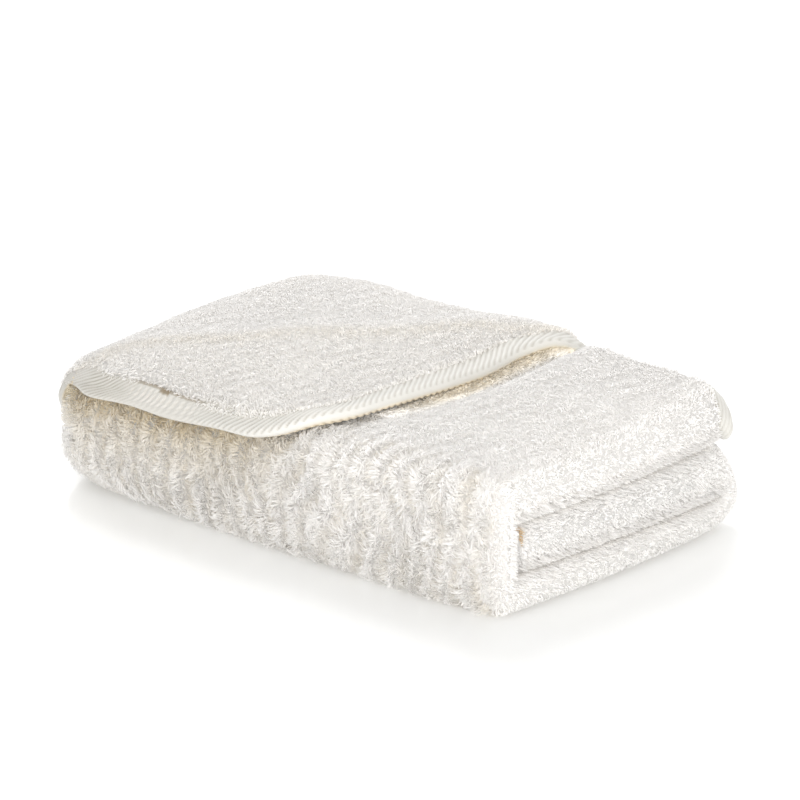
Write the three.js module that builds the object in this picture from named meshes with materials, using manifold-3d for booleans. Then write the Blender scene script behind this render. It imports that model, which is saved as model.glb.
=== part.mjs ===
// A thick terry washcloth, folded and lying on a surface. Millimetres, +Z up.
// +X is the end that shows the three stacked folds, -Y is the long smooth side.
import * as THREE from "three";
import { mergeVertices } from "three/addons/utils/BufferGeometryUtils.js";
import Module from "manifold-3d";

// Driving dimensions
const length = 172; // the folded cloth along X
const clothThick = 5; // ground cloth with the loops on both faces
const flapThick = 4.7; // the layer that is not pressed between others
const layerGap = 0.6; // air between two layers
const nearSide = -50.7; // the long smooth side, where one fold joins bottom and top
const farFold = 49.7; // the outermost point of the lower fold on the far side
const topEnd = 44; // where the top layers end on the far side
const returnRight = 37; // cloth folded in at the +X end
const returnLeft = 108; // cloth folded in at the -X end
const flapEnd = 21; // how far the loose flap on top reaches along X
const flapCorner = 24; // radius of the flap's round corner
const tapeWidth = 7.6; // binding tape, as it shows on each face
const tapeThick = 3.8; // bound edge over both walls of the tape
const tapeWall = 0.9;
const tapeGap = 0.3; // between the tape and the cloth inside it

// What follows from them
const pitch = clothThick + layerGap;
const half = clothThick / 2;
const turn = pitch / 2; // middle radius of a side fold
const layerHeight = (k) => half + k * pitch; // middle of layer k, counted from the floor
const rightEnd = length / 2 - half;
const shoulder = 6; // corner radius of the near fold, at the middle of its two layers
const nearLine = nearSide + half + turn;
const shoulderOutside = shoulder + turn + half;
const noseTurn = (layerHeight(6) - layerHeight(3)) / 2; // the flap's turn round the top layers
const noseX = -length / 2 + half + noseTurn;
const bandMiddle = (k) => (layerHeight(k) + layerHeight(k + 1)) / 2;

const lerp = (a, b, t) => a + (b - a) * t;
const clamp = (t) => Math.min(1, Math.max(0, t));
const smooth = (a, b, x) => {
  const t = clamp((x - a) / (b - a));
  return t * t * (3 - 2 * t);
};

// The value of column `name` at `at`, between the rows of a table sorted by `key`.
function lookUp(table, key, at, name) {
  const next = table.findIndex((row) => row[key] >= at);
  if (next === 0) return table[0][name];
  if (next < 0) return table[table.length - 1][name];
  const [a, b] = [table[next - 1], table[next]];
  return lerp(a[name], b[name], smooth(a[key], b[key], at));
}

// Settling: the even stack is pressed and puffed into the uneven shape in which it lies.
// Height of the top layer over the floor along X, on the near and the far side.
const topHeights = [
  { x: -86, near: 29.5, far: 36.5 },
  { x: -40, near: 30.5, far: 36.8 },
  { x: 0, near: 31.5, far: 35 },
  { x: 22, near: 32.5, far: 34 },
  { x: 46, near: 33, far: 44.8 },
  { x: 66, near: 33.3, far: 43.8 },
  { x: 80, near: 33.3, far: 42 },
  { x: 86, near: 33.2, far: 39 },
];
// How far each boundary between bands leaves its even height, on both sides.
const bandShifts = [
  { z: 0, near: 0, far: 0 },
  { z: 11, near: 0.6, far: -3 },
  { z: 22, near: 1.8, far: -1.4 },
  { z: 33, near: 0, far: 0 },
];
const evenTop = layerHeight(5) + half;
const noseDrawIn = 12; // how far the left end draws in at the floor
const topDrawIn = 9; // and at the top
const noseMiddle = 17; // the height at which the left end reaches furthest
const noseReach = 7; // the left end swells past the even stack
const cornerDrawIn = 17; // the near left corner, seen from above
const backCornerDrawIn = 7; // the far left corner
const endBow = 2.6; // the right end bows out between its corners
const ridgeHeight = 1.6; // the soft ridge that crosses the flap
const ripple = 0.7; // slight unevenness of the top
const bellies = [0.9, 0.7]; // bulges along the near side, long and short
const overhang = 1.8; // the far side swells outwards
const farDrop = 0.17; // share of its height that the top loses where it runs out on the far side
const thinning = 6.5; // at the right end the near fold is drawn thin
const lowPress = 0.3; // how much squarer the near fold's lower corner is than an arc
const highPress = 0.24; // and its upper corner
const upperPull = { end: 3, corner: 2.4 }; // the top layers end short of the turned-up flap on the left
const noseSag = 5; // the flap's turn at the left end droops
const noseRound = 3; // and draws in towards its near edge
const flapSwing = 7; // the flap's free edge swings out on the far side
const flapLift = 2.5; // and stands off the layers below
const nearCorners = {
  y: nearLine + shoulder,
  low: bandMiddle(0) + shoulder,
  high: bandMiddle(4) - shoulder,
};

// The near fold's round corners, pressed squarer than an arc.
function pressCorners({ x, y, z }) {
  const { low, high } = nearCorners;
  const isLow = z < (low + high) / 2;
  const centre = isLow ? low : high;
  const [dy, dz] = [y - nearCorners.y, z - centre];
  if (dy >= 0 || (isLow ? dz >= 0 : dz <= 0)) return { x, y, z };
  const share = isLow ? lowPress * smooth(84, 62, x) : highPress * smooth(10, 45, x);
  const double = (2 * dy * dz) / (dy * dy + dz * dz); // sine of twice the angle
  const grow = 1 + share * double * double;
  return { x, y: nearCorners.y + dy * grow, z: Math.max(0, centre + dz * grow) };
}

// The even stack's point moved to where it lies.
function settle(even) {
  const { x, y, z } = pressCorners(even);
  return new THREE.Vector3(settleX(x, y, z), settleY(x, y, z), Math.max(0, settleZ(x, y, z)));
}

function settleZ(x, y, z) {
  const back = clamp((y + 45) / 85); // 0 on the near side, 1 on the far side
  const across = (table, key, at) =>
    lerp(lookUp(table, key, at, "near"), lookUp(table, key, at, "far"), back);
  const wave = ripple * Math.sin(x / 9 + 1.3) * Math.sin(y / 13 + x / 31);
  const fromRidge = (y - 6 - 0.9 * (x + 30)) / 1.35;
  const ridge = ridgeHeight * Math.exp(-((fromRidge / 11) ** 2));
  const onFlap = smooth(40, 0, x) * smooth(-86, -60, x);
  const drop = 1 - farDrop * smooth(36, 48, y) * smooth(20, 34, x);
  const level = (z * drop * across(topHeights, "x", x)) / evenTop;
  const shift = across(bandShifts, "z", z) * clamp(z / 11);
  return level + shift + smooth(20, 36, z) * (wave + ridge * onFlap);
}

function settleX(x, y, z) {
  const low = clamp((noseMiddle - z) / noseMiddle) ** 2.6;
  const high = clamp((z - noseMiddle) / 21) ** 2.6;
  const nearCorner = clamp((-26 - y) / 24) ** 2.5 * (0.55 + 0.45 * Math.max(low, high));
  const farCorner = clamp((y - 30) / 24) ** 2;
  const corners = cornerDrawIn * nearCorner + backCornerDrawIn * farCorner;
  const inward = noseDrawIn * low + topDrawIn * high + corners - noseReach;
  const bow = endBow * Math.cos((Math.PI * (y + 12)) / 110) - 1.5 * smooth(25, 50, y);
  const pushed = 2 * smooth(-36, -48, y) * smooth(0, 9, z);
  return x + smooth(0, -length / 2, x) * inward + smooth(40, length / 2, x) * (bow + pushed);
}

function settleY(x, y, z) {
  const nearFace = smooth(-30, -48, y) * smooth(1, 12, z) * smooth(34, 26, z);
  const belly = bellies[0] * Math.sin(x / 12) + bellies[1] * Math.sin(x / 5.3 + 2);
  const thinned = thinning * smooth(55, 84, x) * smooth(-50, -39.5, y) * smooth(-8, -38, y);
  return y - nearFace * belly + overhang * smooth(36, 50, y) - thinned;
}

// A chain of straights and arcs in a plane, followed by its length.
// Each row: length, and turn in radians (positive turns left); it starts at `start`, heading `angle`.
function chain(start, angle, rows) {
  return (distance) => {
    let [a, b] = start;
    let heading = angle;
    let left = distance;
    rows.forEach(({ long, turn: bend = 0 }, i) => {
      const past = (i === 0 && left < 0) || i === rows.length - 1; // the ends run on straight
      const part = past ? left : Math.min(left, long);
      const swept = (bend * part) / long;
      const chord = Math.abs(swept) > 1e-9 ? (part * 2 * Math.sin(swept / 2)) / swept : part;
      a += chord * Math.cos(heading + swept / 2);
      b += chord * Math.sin(heading + swept / 2);
      heading += swept;
      left -= part;
    });
    return { a, b, heading };
  };
}

// Distances along a chain, each row cut into its own number of steps.
function stations(rows) {
  const list = [0];
  for (const { long, steps } of rows) {
    const from = list[list.length - 1];
    for (let i = 1; i <= steps; i++) list.push(from + (long * i) / steps);
  }
  return list;
}

// Equal steps from a to b, without a itself.
const steps = (a, b, n) => Array.from({ length: n }, (_, i) => lerp(a, b, (i + 1) / n));

const total = (rows) => rows.reduce((sum, row) => sum + row.long, 0);

// The two-layer strip: its section across X, its way up and down across Y.
const sideTurn = Math.PI * turn;
const stripLeft = noseX + 0.6;
const stripSection = [
  { long: returnLeft, steps: 10 },
  { long: sideTurn, turn: -Math.PI, steps: 5 },
  { long: rightEnd - turn - stripLeft, steps: 18 },
  { long: sideTurn, turn: -Math.PI, steps: 5 },
  { long: returnRight, steps: 2 },
];
const sectionAt = chain([stripLeft + returnLeft, -turn], Math.PI, stripSection);

const farRadius = (bandMiddle(2) - bandMiddle(0)) / 2;
const farCentre = farFold - farRadius - turn - half;
const joinStart = farCentre - 11; // the strip takes over from the middle sheet here
const foldRows = [
  { long: farCentre - joinStart, steps: 2 },
  { long: Math.PI * farRadius, turn: -Math.PI, steps: 6 },
  { long: farCentre - nearLine - shoulder, steps: 8 },
  { long: (Math.PI / 2) * shoulder, turn: -Math.PI / 2, steps: 3 },
  { long: bandMiddle(4) - bandMiddle(0) - 2 * shoulder, steps: 2 },
  { long: (Math.PI / 2) * shoulder, turn: -Math.PI / 2, steps: 3 },
  { long: topEnd - nearLine - shoulder, steps: 9 },
];
const foldAt = chain([joinStart, bandMiddle(2)], 0, foldRows);
const foldEnd = total(foldRows);

function stripPoint(u, s, off) {
  const across = sectionAt(u);
  const along = foldAt(s);
  const n = across.b + off * Math.cos(across.heading);
  const x = across.a - off * Math.sin(across.heading);
  const y = along.a - n * Math.sin(along.heading);
  const z = along.b + n * Math.cos(along.heading);
  const pull = upperPull.end + upperPull.corner * smooth(-36, -50, y);
  return { x: x + pull * smooth(-40, stripLeft, x) * smooth(8, 20, z), y, z };
}

// The middle sheet: one return at the right, the middle layer, and the flap that comes out at the
// left end, turns up round the top layers and lies over them.
const flapRows = [
  { long: returnRight, steps: 2 },
  { long: sideTurn, turn: Math.PI, steps: 5 },
  { long: rightEnd - turn - noseX, steps: 14 },
  { long: Math.PI * noseTurn, turn: -Math.PI, steps: 8 },
  { long: flapEnd - noseX - flapCorner, steps: 7 },
];
const flapSection = chain([rightEnd - turn - returnRight, layerHeight(2)], 0, flapRows);
const noseStart = total(flapRows.slice(0, 3));
const cornerStart = total(flapRows);
const flapReach = cornerStart + flapCorner;
const bendNear = {
  away: -1,
  y: nearLine + shoulder,
  z: evenTop - shoulderOutside,
  radius: shoulderOutside + layerGap + half,
};
const bendFar = { away: 1, y: topEnd - 1, z: bandMiddle(4), radius: noseTurn };
const farTuck = bendFar.y + ((2 * Math.PI) / 3) * noseTurn; // the flap goes over the far edge and in

function flapPoint(u, v, off) {
  const { a, b, heading } = flapSection(u);
  const loose = smooth(cornerStart - 30, flapReach, u);
  const beside = a - off * Math.sin(heading);
  const onNose = smooth(noseX + 2, noseX - noseTurn, beside);
  const swing = flapSwing * loose * smooth(28, 50, v);
  const x = beside + swing + noseRound * onNose * smooth(-26, -46, v);
  const sag = noseSag * onNose * lerp(1, 0.3, smooth(layerHeight(3), layerHeight(6), b));
  const lift = flapLift * loose * smooth(15, 42, v);
  const straight = { y: v, z: b + off * Math.cos(heading) - sag + lift };
  const bend = v < 0 ? bendNear : bendFar;
  const over = Math.max(0, bend.away * (v - bend.y));
  const high = Math.max(0, straight.z - bend.z);
  const bent = {
    y: over ? bend.y + bend.away * high * Math.sin(over / bend.radius) : v,
    z: straight.z - high * (1 - Math.cos(over / bend.radius)),
  };
  const share = smooth(bend.z, bend.z + bend.radius / 2, straight.z);
  const y = lerp(straight.y, bent.y, share);
  const z = lerp(straight.z, bent.z, share);
  return { x, y, z };
}

const slotEdge = -37.8; // the starting edge between the layers
const hangEdge = -52; // the same edge where it hangs over the near shoulder
const nearEdge = (u) => lerp(slotEdge, hangEdge, smooth(-12, 36, u - noseStart));
const farEdge = (u) => lerp(joinStart + 7, farTuck, smooth(2, 24, u - noseStart));

// A closed solid of cloth round a middle surface. `rows(u)` lists the places across at station u.
function sheetSolid(point, us, rows, thick) {
  const column = (u, off) => rows(u).map((v) => settle(point(u, v, off)));
  const grid = [thick / 2, -thick / 2].map((off) => us.map((u) => column(u, off)));
  const [m, n] = [us.length, grid[0][0].length];
  const position = grid.flat(2).flatMap((p) => p.toArray());
  const at = (side, i, j) => side * m * n + i * n + j;
  const index = [];
  const quad = (a, b, c, d) => index.push(a, b, c, a, c, d);
  for (let i = 0; i + 1 < m; i++)
    for (let j = 0; j + 1 < n; j++) {
      quad(at(0, i, j), at(0, i + 1, j), at(0, i + 1, j + 1), at(0, i, j + 1));
      quad(at(1, i, j), at(1, i, j + 1), at(1, i + 1, j + 1), at(1, i + 1, j));
    }
  for (let i = 0; i + 1 < m; i++) {
    quad(at(1, i, 0), at(1, i + 1, 0), at(0, i + 1, 0), at(0, i, 0));
    quad(at(0, i, n - 1), at(0, i + 1, n - 1), at(1, i + 1, n - 1), at(1, i, n - 1));
  }
  for (let j = 0; j + 1 < n; j++) {
    quad(at(0, 0, j), at(0, 0, j + 1), at(1, 0, j + 1), at(1, 0, j));
    quad(at(1, m - 1, j), at(1, m - 1, j + 1), at(0, m - 1, j + 1), at(0, m - 1, j));
  }
  return solid(position, index);
}

const wasm = await Module();
wasm.setup();

// A manifold solid from corner positions and triangles, whichever way round they were listed.
function solid(position, index) {
  const make = (triVerts) =>
    new wasm.Manifold(
      new wasm.Mesh({ numProp: 3, vertProperties: new Float32Array(position), triVerts }),
    );
  const made = make(new Uint32Array(index));
  return made.volume() > 0 ? made : make(new Uint32Array(index.reverse()));
}

// The largest body of a cut solid, with corners closer than `weld` made one.
const weld = 0.002;
function mainBody(made) {
  const { vertProperties, triVerts } = made.getMesh();
  const geometry = new THREE.BufferGeometry();
  geometry.setAttribute("position", new THREE.BufferAttribute(vertProperties, 3));
  geometry.setIndex(new THREE.BufferAttribute(triVerts, 1));
  const merged = mergeVertices(geometry, weld);
  const welded = solid(merged.attributes.position.array, Array.from(merged.index.array));
  return welded.decompose().sort((a, b) => b.volume() - a.volume())[0];
}

// The tape's section: `inward` from the cloth's edge, `off` from its middle. It grows by `extra`
// to make the room that is cut out of the cloth, which is open past both faces of the cloth.
function tapeSection(extra) {
  const lip = -(tapeWall + tapeGap + extra);
  const mouth = tapeWidth - tapeWall - tapeGap + extra;
  const out = extra ? half + 0.5 : tapeThick / 2;
  const inside = tapeThick / 2 - tapeWall - extra;
  const chamfer = 0.9;
  const floorOfSlot = extra - tapeGap;
  const midway = (mouth + lip) / 2;
  const upper = [
    [mouth, out],
    [midway, out],
    [lip + chamfer, out],
    [lip, out - chamfer],
  ];
  const slot = [
    [floorOfSlot, inside],
    [midway, inside],
    [mouth, inside],
  ];
  const mirrored = (list) => list.map(([inward, off]) => [inward, -off]).reverse();
  return [...upper, ...mirrored(upper), ...mirrored(slot), ...slot];
}

// The place b, moved on by `more` in the direction from a.
function beyond(a, b, more) {
  const long = Math.hypot(b[0] - a[0], b[1] - a[1]);
  return b.map((value, k) => value + ((value - a[k]) * more) / long);
}

// The tape along an edge. `edge` lists places (u, v) on the middle surface in order.
function tapeSolid(point, places, side, extra) {
  const section = tapeSection(extra);
  const position = [];
  const edge = [beyond(places[1], places[0], 3 * extra), ...places.slice(1, -1)];
  edge.push(beyond(places.at(-2), places.at(-1), 3 * extra));
  edge.forEach(([u, v], i) => {
    const [u0, v0] = edge[Math.max(0, i - 1)];
    const [u1, v1] = edge[Math.min(edge.length - 1, i + 1)];
    const long = Math.hypot(u1 - u0, v1 - v0);
    const [du, dv] = [(-side * (v1 - v0)) / long, (side * (u1 - u0)) / long];
    for (const [inward, off] of section)
      position.push(...settle(point(u + inward * du, v + inward * dv, off)).toArray());
  });
  const n = section.length;
  const index = [];
  for (let i = 0; i + 1 < edge.length; i++)
    for (let j = 0; j < n; j++) {
      const [a, b] = [i * n + j, i * n + ((j + 1) % n)];
      index.push(a, b, b + n, a, b + n, a + n);
    }
  const outline = section.map(([inward, off]) => new THREE.Vector2(inward, off));
  const faces = THREE.ShapeUtils.triangulateShape(outline, []);
  const last = (edge.length - 1) * n;
  for (const [a, b, c] of faces) index.push(c, b, a, a + last, b + last, c + last);
  return solid(position, index);
}

// The flap's grid: the columns close up round the corner, whose edge rises with its arc.
const cornerSteps = 6;
const cornerAngle = (i) => ((Math.PI / 2) * i) / cornerSteps;
const cornerColumns = Array.from(
  { length: cornerSteps },
  (_, i) => cornerStart + flapCorner * Math.sin(cornerAngle(i + 1)),
);
const flapColumns = [...stations(flapRows), ...cornerColumns];
const cornerRise = (u) => {
  const t = clamp((u - cornerStart) / flapCorner);
  return flapCorner * (1 - Math.sqrt(1 - t * t));
};
const acrossShares = [
  ...[0, 0.035, 0.07, 0.1, 0.2, 0.32, 0.44, 0.56, 0.68, 0.78], // across the top
  ...[0.84, 0.89, 0.93, 0.965, 1], // and down over the far edge
];
const flapRowsAt = (u) =>
  acrossShares.map((t) => lerp(nearEdge(u) + cornerRise(u), farEdge(u), t));

const flapSideSteps = 9;
const farBendSteps = 10;
const cornerTop = hangEdge + flapCorner;
const tapeStart = noseStart - 14; // the tape is left out where the layers hide the edge
const flapEdge = [
  ...[tapeStart, ...stations(flapRows).filter((u) => u > tapeStart + 4)].map((u) => [
    u,
    nearEdge(u),
  ]),
  ...cornerColumns.map((u) => [u, hangEdge + cornerRise(u)]),
  ...steps(cornerTop, bendFar.y, flapSideSteps).map((v) => [flapReach, v]),
  ...steps(bendFar.y, farTuck - 2, farBendSteps).map((v) => [flapReach, v]),
];
const topEdge = stations(stripSection).map((u) => [u, foldEnd]);

const room = 0.3; // what the tape keeps from the cloth
const foldStations = stations(foldRows);
const strip = sheetSolid(stripPoint, stations(stripSection), () => foldStations, clothThick);
const withOffcuts = strip
  .add(sheetSolid(flapPoint, flapColumns, flapRowsAt, flapThick))
  .subtract(tapeSolid(flapPoint, flapEdge, 1, room))
  .subtract(tapeSolid(stripPoint, topEdge, -1, room));
const cloth = mainBody(mainBody(withOffcuts));

const part = new THREE.Group();

function addPiece(name, made, colour, roughness) {
  const { vertProperties, triVerts } = made.getMesh();
  const geometry = new THREE.BufferGeometry();
  geometry.setAttribute("position", new THREE.BufferAttribute(vertProperties, 3));
  geometry.setIndex(new THREE.BufferAttribute(triVerts, 1));
  geometry.computeVertexNormals();
  const material = new THREE.MeshStandardMaterial({ color: colour, roughness, metalness: 0 });
  const mesh = new THREE.Mesh(geometry, material);
  mesh.name = name;
  part.add(mesh);
}

addPiece("cloth", cloth, 0xf6f2e8, 0.95);
addPiece("binding_flap", tapeSolid(flapPoint, flapEdge, 1, 0), 0xf4eee0, 0.8);
addPiece("binding_top_end", tapeSolid(stripPoint, topEdge, -1, 0), 0xf4eee0, 0.8);

// The origin is the middle of the footprint, on the surface below.
const middle = new THREE.Box3().setFromObject(part).getCenter(new THREE.Vector3());
part.position.set(-middle.x, -middle.y, 0);

export default part;
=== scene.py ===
# A thick terry washcloth, folded and lying on a pale floor, with its bound edge and corner on top.
# +X is the end that shows the stacked folds, -Y the long smooth side, and the origin is the middle
# of its footprint. Shapes are worked out in millimetres and become metres when they settle.
import math

import bmesh
import bpy
import numpy as np
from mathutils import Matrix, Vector
from mathutils.kdtree import KDTree


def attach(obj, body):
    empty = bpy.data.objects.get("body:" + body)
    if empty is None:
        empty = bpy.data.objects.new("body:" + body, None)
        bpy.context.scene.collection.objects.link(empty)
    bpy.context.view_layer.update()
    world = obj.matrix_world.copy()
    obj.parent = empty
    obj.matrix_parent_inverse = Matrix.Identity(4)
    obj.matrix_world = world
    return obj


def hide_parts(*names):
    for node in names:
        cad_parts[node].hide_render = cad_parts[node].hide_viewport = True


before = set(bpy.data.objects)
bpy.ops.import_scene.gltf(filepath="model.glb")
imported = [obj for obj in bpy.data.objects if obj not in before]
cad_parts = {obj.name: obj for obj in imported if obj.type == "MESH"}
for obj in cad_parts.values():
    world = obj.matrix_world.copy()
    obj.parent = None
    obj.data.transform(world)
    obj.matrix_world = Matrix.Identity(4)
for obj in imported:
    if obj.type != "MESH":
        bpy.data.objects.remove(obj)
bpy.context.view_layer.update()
rng = np.random.default_rng(7)

# The folded cloth, with the sizes of the solids
cloth = dict(
    length=172,  # along X, as an even stack
    thick=5,  # ground cloth with the loops on both faces
    gap=0.6,  # air between two layers
    nearSide=-50.7,  # the long smooth side, where one fold joins bottom and top
    farFold=49.7,  # the outermost point of the lower fold on the far side
    topEnd=44,  # where the top layers end on the far side
    returnRight=37,  # cloth folded in at the right end
    returnLeft=108,  # cloth folded in at the left end
    flapEnd=21,  # how far the loose flap on top reaches along X
    flapCorner=24,  # radius of the flap's round corner
    shoulder=6,  # corner radius of the near fold
    slotEdge=-37.8,  # the flap's near edge where it starts between the layers
    hangEdge=-52,  # the same edge where it hangs over the near shoulder
)

# How the even stack is pressed and puffed where it lies
lie = dict(
    noseDrawIn=12,  # how far the left end draws in at the floor
    topDrawIn=9,  # and at the top
    noseMiddle=17,  # the height at which the left end reaches furthest
    noseReach=7,  # the left end swells past the even stack
    cornerDrawIn=17,  # the near left corner, seen from above
    backCornerDrawIn=7,  # the far left corner
    endBow=2.6,  # the right end bows out between its corners
    ridge=1.6,  # height of the soft ridge that crosses the flap
    ridgeSlant=0.9,  # how far it runs across for each millimetre along
    ridgeStretch=1.35,  # millimetres across for one square to the ridge
    ripple=0.7,  # slight unevenness of the top
    bellies=(0.9, 0.7),  # bulges along the near side, long and short
    overhang=1.8,  # the far side swells outwards
    thinning=6.5,  # at the right end the near fold is drawn thin
    farDrop=0.17,  # share of its height that the top loses on the far side
    upperPull=3,  # the top layers end short of the turned-up flap on the left
    cornerPull=2.4,  # and more so at the near corner
    noseSag=5,  # the flap's turn at the left end droops
    noseRound=3,  # and draws in towards its near edge
    flapSwing=7,  # the flap's free edge swings out on the far side
    swingFrom=(28, 50),  # between these places across
    flapLift=2.5,  # and it stands off the layers below
    lowPress=0.3,  # how much squarer the near fold's lower corner is than an arc
    highPress=0.24,  # and its upper corner
    middleX=-1.5669,  # the middle of the footprint, which becomes the origin
    middleY=2.7090,
)
# Height of the top over the floor: place along X, near side, far side
topHeights = np.array([
    (-86, 29.5, 36.5), (-40, 30.5, 36.8), (0, 31.5, 35), (22, 32.5, 34),
    (46, 33, 44.8), (66, 33.3, 43.8), (80, 33.3, 42), (86, 33.2, 39),
])
# How far what lies at an even height is moved up: height, near side, far side
bandShifts = np.array([(0, 0, 0), (11, 0.6, -3), (22, 1.8, -1.4), (33, 0, 0)])

metre = 1000  # millimetres
centimetres = 100  # in a metre
half = cloth["thick"] / 2
pitch = cloth["thick"] + cloth["gap"]
turn = pitch / 2  # middle radius of the fold that joins two layers


# Height of the middle of a layer, counted from the floor
def layerMiddle(k):
    return half + k * pitch


# The two-layer strip lies in bands of two layers
def bandMiddle(k):
    return (layerMiddle(k) + layerMiddle(k + 1)) / 2


evenTop = layerMiddle(5) + half
rightEnd = cloth["length"] / 2 - half
nearLine = cloth["nearSide"] + half + turn
noseTurn = (layerMiddle(6) - layerMiddle(3)) / 2  # the flap's turn round the top layers
noseX = -cloth["length"] / 2 + half + noseTurn


def lerp(a, b, t):
    return a + (b - a) * t


# From 0 at a to 1 at b with soft ends; a may be the larger one. The bare numbers given to this and to
# between() are places in millimetres, on the even stack or along a sheet, where an effect grows.
def smooth(a, b, x):
    t = np.clip((np.asarray(x, float) - a) / (b - a), 0, 1)
    return t * t * (3 - 2 * t)


# 1 from a to b and 0 outside, with soft ends of this width
def between(x, a, b, soft=6):
    return smooth(a - soft / 2, a + soft / 2, x) * smooth(b + soft / 2, b - soft / 2, x)


def unit(v):
    return v / np.maximum(np.linalg.norm(v, axis=-1, keepdims=True), 1e-12)


# A column of a table at this value of its first column, eased from row to row
def lookUp(table, at, column):
    keys = table[:, 0]
    i = np.clip(np.searchsorted(keys, at), 1, len(keys) - 1)
    t = np.clip((at - keys[i - 1]) / (keys[i] - keys[i - 1]), 0, 1)
    return lerp(table[i - 1, column], table[i, column], t * t * (3 - 2 * t))


# The near fold's round corners, pressed squarer than an arc
def pressCorners(x, y, z):
    cornerY = nearLine + cloth["shoulder"]
    low, high = bandMiddle(0) + cloth["shoulder"], bandMiddle(4) - cloth["shoulder"]
    isLow = z < (low + high) / 2
    centre = np.where(isLow, low, high)
    dy, dz = y - cornerY, z - centre
    out = (dy < 0) & np.where(isLow, dz < 0, dz > 0)
    share = np.where(isLow, lie["lowPress"] * smooth(84, 62, x), lie["highPress"] * smooth(10, 45, x))
    double = 2 * dy * dz / np.maximum(dy * dy + dz * dz, 1e-9)  # sine of twice the angle
    grow = np.where(out, 1 + share * double * double, 1)
    return x, np.where(out, cornerY + dy * grow, y), np.where(out, np.maximum(centre + dz * grow, 0), z)


# How far a place lies across the ridge that crosses the flap
def acrossRidge(along, y):
    return (y - 6 - lie["ridgeSlant"] * (along + 30)) / lie["ridgeStretch"]


# The settling of the even stack, one function for each direction
def settleZ(x, y, z):
    back = np.clip((y + 45) / 85, 0, 1)  # 0 on the near side, 1 on the far side
    top = lerp(lookUp(topHeights, x, 1), lookUp(topHeights, x, 2), back)
    shift = lerp(lookUp(bandShifts, z, 1), lookUp(bandShifts, z, 2), back) * np.clip(z / 11, 0, 1)
    wave = lie["ripple"] * np.sin(x / 9 + 1.3) * np.sin(y / 13 + x / 31)
    hump = np.exp(-((acrossRidge(x, y) / 11) ** 2))
    ridge = lie["ridge"] * hump * smooth(40, 0, x) * smooth(-86, -60, x)
    drop = 1 - lie["farDrop"] * smooth(36, 48, y) * smooth(20, 34, x)
    return z * drop * top / evenTop + shift + smooth(20, 36, z) * (wave + ridge)


def settleX(x, y, z):
    low = np.clip((lie["noseMiddle"] - z) / lie["noseMiddle"], 0, 1) ** 2.6
    high = np.clip((z - lie["noseMiddle"]) / 21, 0, 1) ** 2.6
    nearCorner = np.clip((-26 - y) / 24, 0, 1) ** 2.5 * (0.55 + 0.45 * np.maximum(low, high))
    corners = lie["cornerDrawIn"] * nearCorner + lie["backCornerDrawIn"] * np.clip((y - 30) / 24, 0, 1) ** 2
    inward = lie["noseDrawIn"] * low + lie["topDrawIn"] * high + corners - lie["noseReach"]
    bow = lie["endBow"] * np.cos(math.pi * (y + 12) / 110) - 1.5 * smooth(25, 50, y)
    pushed = 2 * smooth(-36, -48, y) * smooth(0, 9, z)  # the near right corner
    atLeft, atRight = smooth(0, -cloth["length"] / 2, x), smooth(40, cloth["length"] / 2, x)
    return x + atLeft * inward + atRight * (bow + pushed)


def settleY(x, y, z):
    nearFace = smooth(-30, -48, y) * smooth(1, 12, z) * smooth(34, 26, z)
    belly = lie["bellies"][0] * np.sin(x / 12) + lie["bellies"][1] * np.sin(x / 5.3 + 2)
    thinned = lie["thinning"] * smooth(55, 84, x) * smooth(-50, -39.5, y) * smooth(-8, -38, y)
    return y - nearFace * belly + lie["overhang"] * smooth(36, 50, y) - thinned


# The even stack's point moved to where it lies, in metres in the frame
def settle(x, y, z):
    x, y, z = pressCorners(*np.broadcast_arrays(x, y, z))
    newX, newY = settleX(x, y, z) - lie["middleX"], settleY(x, y, z) - lie["middleY"]
    return np.stack([newX, newY, np.maximum(settleZ(x, y, z), 0)], -1) / metre


# A line of straights and arcs in a plane, from rows of length and turn. It gives back a function of
# the distance along the line, for a place and a heading, whose marks are the ends of the rows.
def chain(start, angle, rows):
    marks, at, heading = [0.0], np.array(start, float), angle
    starts, headings = [at], [angle]
    for long, bend in rows:
        chord = long * np.sinc(bend / 2 / math.pi)
        at = at + chord * np.array([math.cos(heading + bend / 2), math.sin(heading + bend / 2)])
        heading += bend
        marks.append(marks[-1] + long)
        starts.append(at)
        headings.append(heading)
    marks, starts, headings = np.array(marks), np.array(starts), np.array(headings)
    bends = np.array([bend / long for long, bend in rows])

    def along(d):
        d = np.asarray(d, float)
        i = np.clip(np.searchsorted(marks, d, side="right") - 1, 0, len(rows) - 1)
        part = d - marks[i]
        swept = bends[i] * part
        chord = part * np.sinc(swept / 2 / math.pi)
        way = headings[i] + swept / 2
        return starts[i, 0] + chord * np.cos(way), starts[i, 1] + chord * np.sin(way), headings[i] + swept

    along.marks = marks
    return along


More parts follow.
